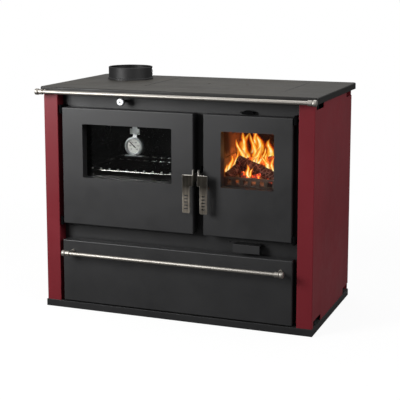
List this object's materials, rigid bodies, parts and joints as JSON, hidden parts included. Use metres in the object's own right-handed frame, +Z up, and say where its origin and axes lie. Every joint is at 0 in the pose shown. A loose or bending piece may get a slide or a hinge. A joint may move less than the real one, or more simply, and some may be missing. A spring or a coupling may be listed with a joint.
{
  "type": "wood-burning cookstove",
  "caption": "Free-standing wood-burning cookstove with a windowed oven door and fire door, a storage drawer, a flush hotplate, front rails and a round flue collar.",
  "frame": {"origin": "middle of the underside of the base tray, on the floor", "axes": "+X to the right seen from the front, +Y to the back, +Z up"},
  "size_m": [0.914, 0.53, 0.76],
  "materials": {
    "red_paint": "satin dark red stove paint",
    "black_paint": "matt charcoal stove paint",
    "inner_steel": "plain dark sheet steel",
    "cast_top": "ground cast iron, grey",
    "black_cast": "black cast iron",
    "rail_steel": "satin stainless steel",
    "lever_steel": "brushed stainless steel",
    "fastener_steel": "plain zinc plated steel",
    "knob_chrome": "polished chrome",
    "oven_enamel": "glossy dark enamel",
    "rack_wire": "chromed wire",
    "firebrick": "sandy fired clay",
    "door_glass": "clear heat resistant glass",
    "rope_seal": "grey braided fibre rope",
    "dial_white": "white printed dial",
    "needle_black": "black painted needle"
  },
  "bodies": {
    "stove_body": {"base_tray": "black_paint", "floor_plate": "inner_steel", "left_side_panel": "red_paint", "right_side_panel": "red_paint", "side_heat_shields": "black_paint", "rear_panel": "black_paint", "rear_panel_screws": "fastener_steel", "front_plate": "black_paint", "divider_plate": "inner_steel", "cooktop_frame": "cast_top", "flue_collar": "black_cast", "flue_collar_bolts": "fastener_steel", "top_rail": "rail_steel", "top_rail_posts": "rail_steel", "top_rail_caps": "rail_steel", "oven_box": "oven_enamel", "oven_runners": "oven_enamel", "oven_rack": "rack_wire", "flue_baffle": "inner_steel", "firebox_shell": "inner_steel", "firebricks": "firebrick", "grate": "black_cast", "log_fence": "black_cast", "ash_pan": "inner_steel", "air_slide_guides": "inner_steel", "hinge_lugs": "black_paint", "hinge_pins": "fastener_steel", "latch_keeper": "fastener_steel", "drawer_runners": "inner_steel"},
    "hotplate": {"hotplate": "cast_top"},
    "oven_door": {"oven_door_skin": "black_paint", "oven_door_liner": "black_paint", "oven_door_glass": "door_glass", "oven_glass_clips": "fastener_steel", "oven_door_seal": "rope_seal", "oven_door_knuckles": "black_paint", "oven_handle_bolt": "fastener_steel", "thermometer_case": "knob_chrome", "thermometer_dial": "dial_white"},
    "oven_handle": {"oven_handle_lever": "lever_steel"},
    "thermometer_needle": {"thermometer_needle": "needle_black"},
    "fire_door": {"fire_door_skin": "black_paint", "fire_door_liner": "black_paint", "fire_door_glass": "door_glass", "fire_glass_clips": "fastener_steel", "fire_door_seal": "rope_seal", "fire_door_knuckles": "black_paint", "fire_handle_bolt": "fastener_steel"},
    "fire_handle": {"fire_handle_lever": "lever_steel"},
    "drawer": {"drawer_front": "black_paint", "drawer_box": "inner_steel", "drawer_rail": "rail_steel", "drawer_rail_posts": "rail_steel", "drawer_rail_caps": "rail_steel"},
    "damper": {"damper_plate": "inner_steel", "damper_rod": "fastener_steel", "damper_knob": "knob_chrome"},
    "primary_air": {"primary_air_slide": "black_paint"},
    "secondary_air": {"secondary_air_slide": "black_paint"}
  },
  "joints": [
    {"name": "hotplate_lift", "type": "slide", "parent": "stove_body", "child": "hotplate", "axis": [0, 0, 1], "range_m": [0, 0.12]},
    {"name": "oven_door_hinge", "type": "hinge", "parent": "stove_body", "child": "oven_door", "pos_m": [-0.385, -0.226, 0.4675], "axis": [0, 0, -1], "range_deg": [0, 110]},
    {"name": "oven_handle_lift", "type": "hinge", "parent": "oven_door", "child": "oven_handle", "pos_m": [0.0735, -0.216, 0.465], "axis": [-1, 0, 0], "range_deg": [0, 45]},
    {"name": "thermometer_turn", "type": "hinge", "parent": "oven_door", "child": "thermometer_needle", "pos_m": [-0.149, -0.188, 0.536], "axis": [0, 1, 0], "range_deg": [-90, 170]},
    {"name": "fire_door_hinge", "type": "hinge", "parent": "stove_body", "child": "fire_door", "pos_m": [0.385, -0.226, 0.4675], "axis": [0, 0, 1], "range_deg": [0, 110]},
    {"name": "fire_handle_lift", "type": "hinge", "parent": "fire_door", "child": "fire_handle", "pos_m": [0.0915, -0.216, 0.465], "axis": [-1, 0, 0], "range_deg": [0, 45]},
    {"name": "drawer_slide", "type": "slide", "parent": "stove_body", "child": "drawer", "axis": [0, -1, 0], "range_m": [0, 0.33]},
    {"name": "damper_pull", "type": "slide", "parent": "stove_body", "child": "damper", "axis": [0, -1, 0], "range_m": [0, 0.08]},
    {"name": "primary_air_slide", "type": "slide", "parent": "stove_body", "child": "primary_air", "axis": [1, 0, 0], "range_m": [-0.02, 0.02]},
    {"name": "secondary_air_slide", "type": "slide", "parent": "stove_body", "child": "secondary_air", "axis": [1, 0, 0], "range_m": [-0.02, 0.02]}
  ]
}
